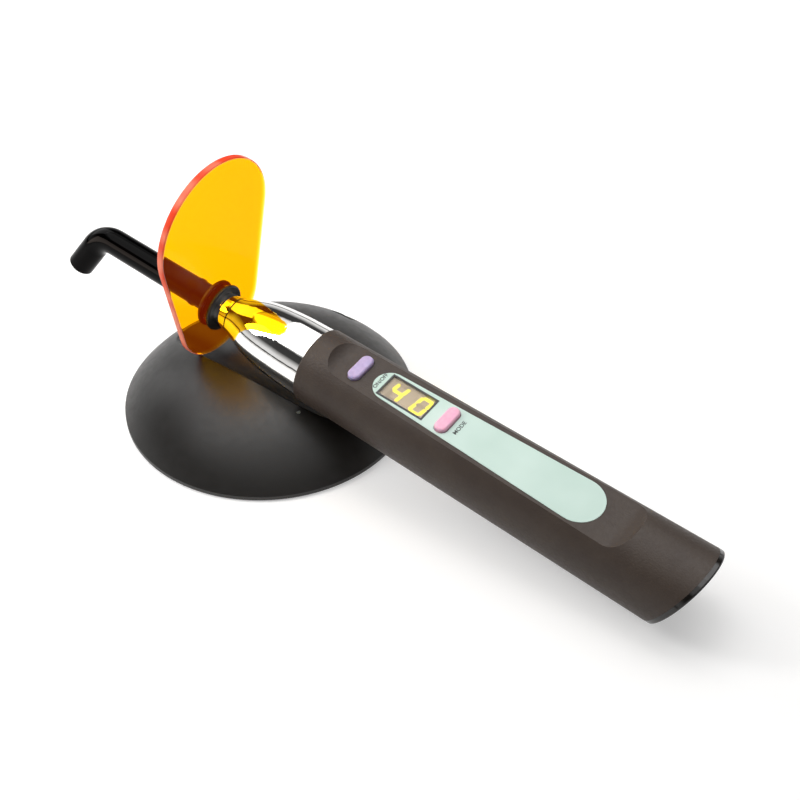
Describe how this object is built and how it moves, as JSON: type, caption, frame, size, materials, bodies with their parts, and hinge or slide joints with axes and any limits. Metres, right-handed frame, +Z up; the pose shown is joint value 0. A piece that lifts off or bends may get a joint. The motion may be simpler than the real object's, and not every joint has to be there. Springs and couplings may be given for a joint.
{
  "type": "dental curing light",
  "caption": "Cordless pen-style dental curing light with bent light guide, orange eye shield and a domed charging cradle.",
  "frame": {"origin": "centre of the charging cradle's rubber pad, on the table", "axes": "+Z up; +X along the handpiece towards its tail; +Y away from the side with the cradle's lamp"},
  "size_m": [0.255, 0.1, 0.0957],
  "materials": {
    "cradle_shell": "satin black moulded ABS",
    "base_plastic": "fine moulded texture",
    "foot_rubber": "matt moulded rubber",
    "screw_steel": "zinc plated",
    "ballast_iron": "as cast",
    "circuit_board": "solder resist",
    "contact_gold": "gold plated",
    "lamp_lens": "clear moulded",
    "handle_shell": "fine spark-eroded texture",
    "label_film": "printed polyester film",
    "display_frame": "smooth",
    "display_glass": "clear window",
    "key_lavender": "silicone keypad",
    "key_pink": "silicone keypad",
    "cell_wrap": "shrink sleeve",
    "tail_plastic": "polished",
    "nose_chrome": "polished",
    "grommet_rubber": "smooth moulded rubber",
    "heat_metal": "turned",
    "fibre_glass": "polished fibre bundle",
    "guide_sheath": "polished black glass cladding",
    "shield_amber": "clear orange filter plastic, polished"
  },
  "bodies": {
    "base": {"dome_cover": "cradle_shell", "base_plate": "base_plastic", "foot_pad": "foot_rubber", "base_screws": "screw_steel", "ballast_weights": "ballast_iron", "charger_board": "circuit_board", "pin_block": "base_plastic", "dc_jack": "base_plastic", "indicator_lens": "lamp_lens"},
    "pin_front": {"contact_pin_front": "contact_gold"},
    "pin_rear": {"contact_pin_rear": "contact_gold"},
    "handpiece": {"handle_shell": "handle_shell", "charge_pads": "contact_gold", "label_plate": "label_film", "display_bezel": "display_frame", "display_window": "display_glass", "display_module": "display_frame", "key_switches": "base_plastic", "control_board": "circuit_board", "inner_chassis": "base_plastic", "battery_cell": "cell_wrap", "battery_contacts": "contact_gold", "tail_cap": "tail_plastic", "tail_gasket": "foot_rubber", "tail_screws": "screw_steel", "nose_cone": "nose_chrome", "groove_ring": "grommet_rubber", "guide_sleeve": "grommet_rubber", "led_lens": "lamp_lens", "led_board": "heat_metal", "heat_sink": "heat_metal"},
    "power_key": {"on_off_button": "key_lavender"},
    "mode_key": {"mode_button": "key_pink"},
    "guide": {"fibre_core": "fibre_glass", "guide_sheath": "guide_sheath"},
    "shield": {"light_shield": "shield_amber", "shield_grommet": "grommet_rubber"}
  },
  "joints": [
    {"name": "handpiece_lift", "type": "slide", "parent": "base", "child": "handpiece", "axis": [0, 0, 1], "range_m": [0, 0.06]},
    {"name": "guide_turn", "type": "hinge", "parent": "handpiece", "child": "guide", "pos_m": [-0.00428, -0.0029, 0.03411], "axis": [0.9927, 0, -0.1207], "continuous": true},
    {"name": "shield_turn", "type": "hinge", "parent": "handpiece", "child": "shield", "pos_m": [-0.01709, -0.0029, 0.03567], "axis": [0.9927, 0, -0.1207], "range_deg": [-40, 40]},
    {"name": "power_key_press", "type": "slide", "parent": "handpiece", "child": "power_key", "axis": [0.1199, -0.1132, 0.9863], "range_m": [-0.0005, 0], "stiffness_N_per_m": 2000},
    {"name": "mode_key_press", "type": "slide", "parent": "handpiece", "child": "mode_key", "axis": [0.1199, -0.1132, 0.9863], "range_m": [-0.0005, 0], "stiffness_N_per_m": 2000},
    {"name": "pin_front_press", "type": "slide", "parent": "base", "child": "pin_front", "axis": [0, 0, 1], "range_m": [-0.0008, 0], "stiffness_N_per_m": 800},
    {"name": "pin_rear_press", "type": "slide", "parent": "base", "child": "pin_rear", "axis": [0, 0, 1], "range_m": [-0.0008, 0], "stiffness_N_per_m": 800}
  ]
}
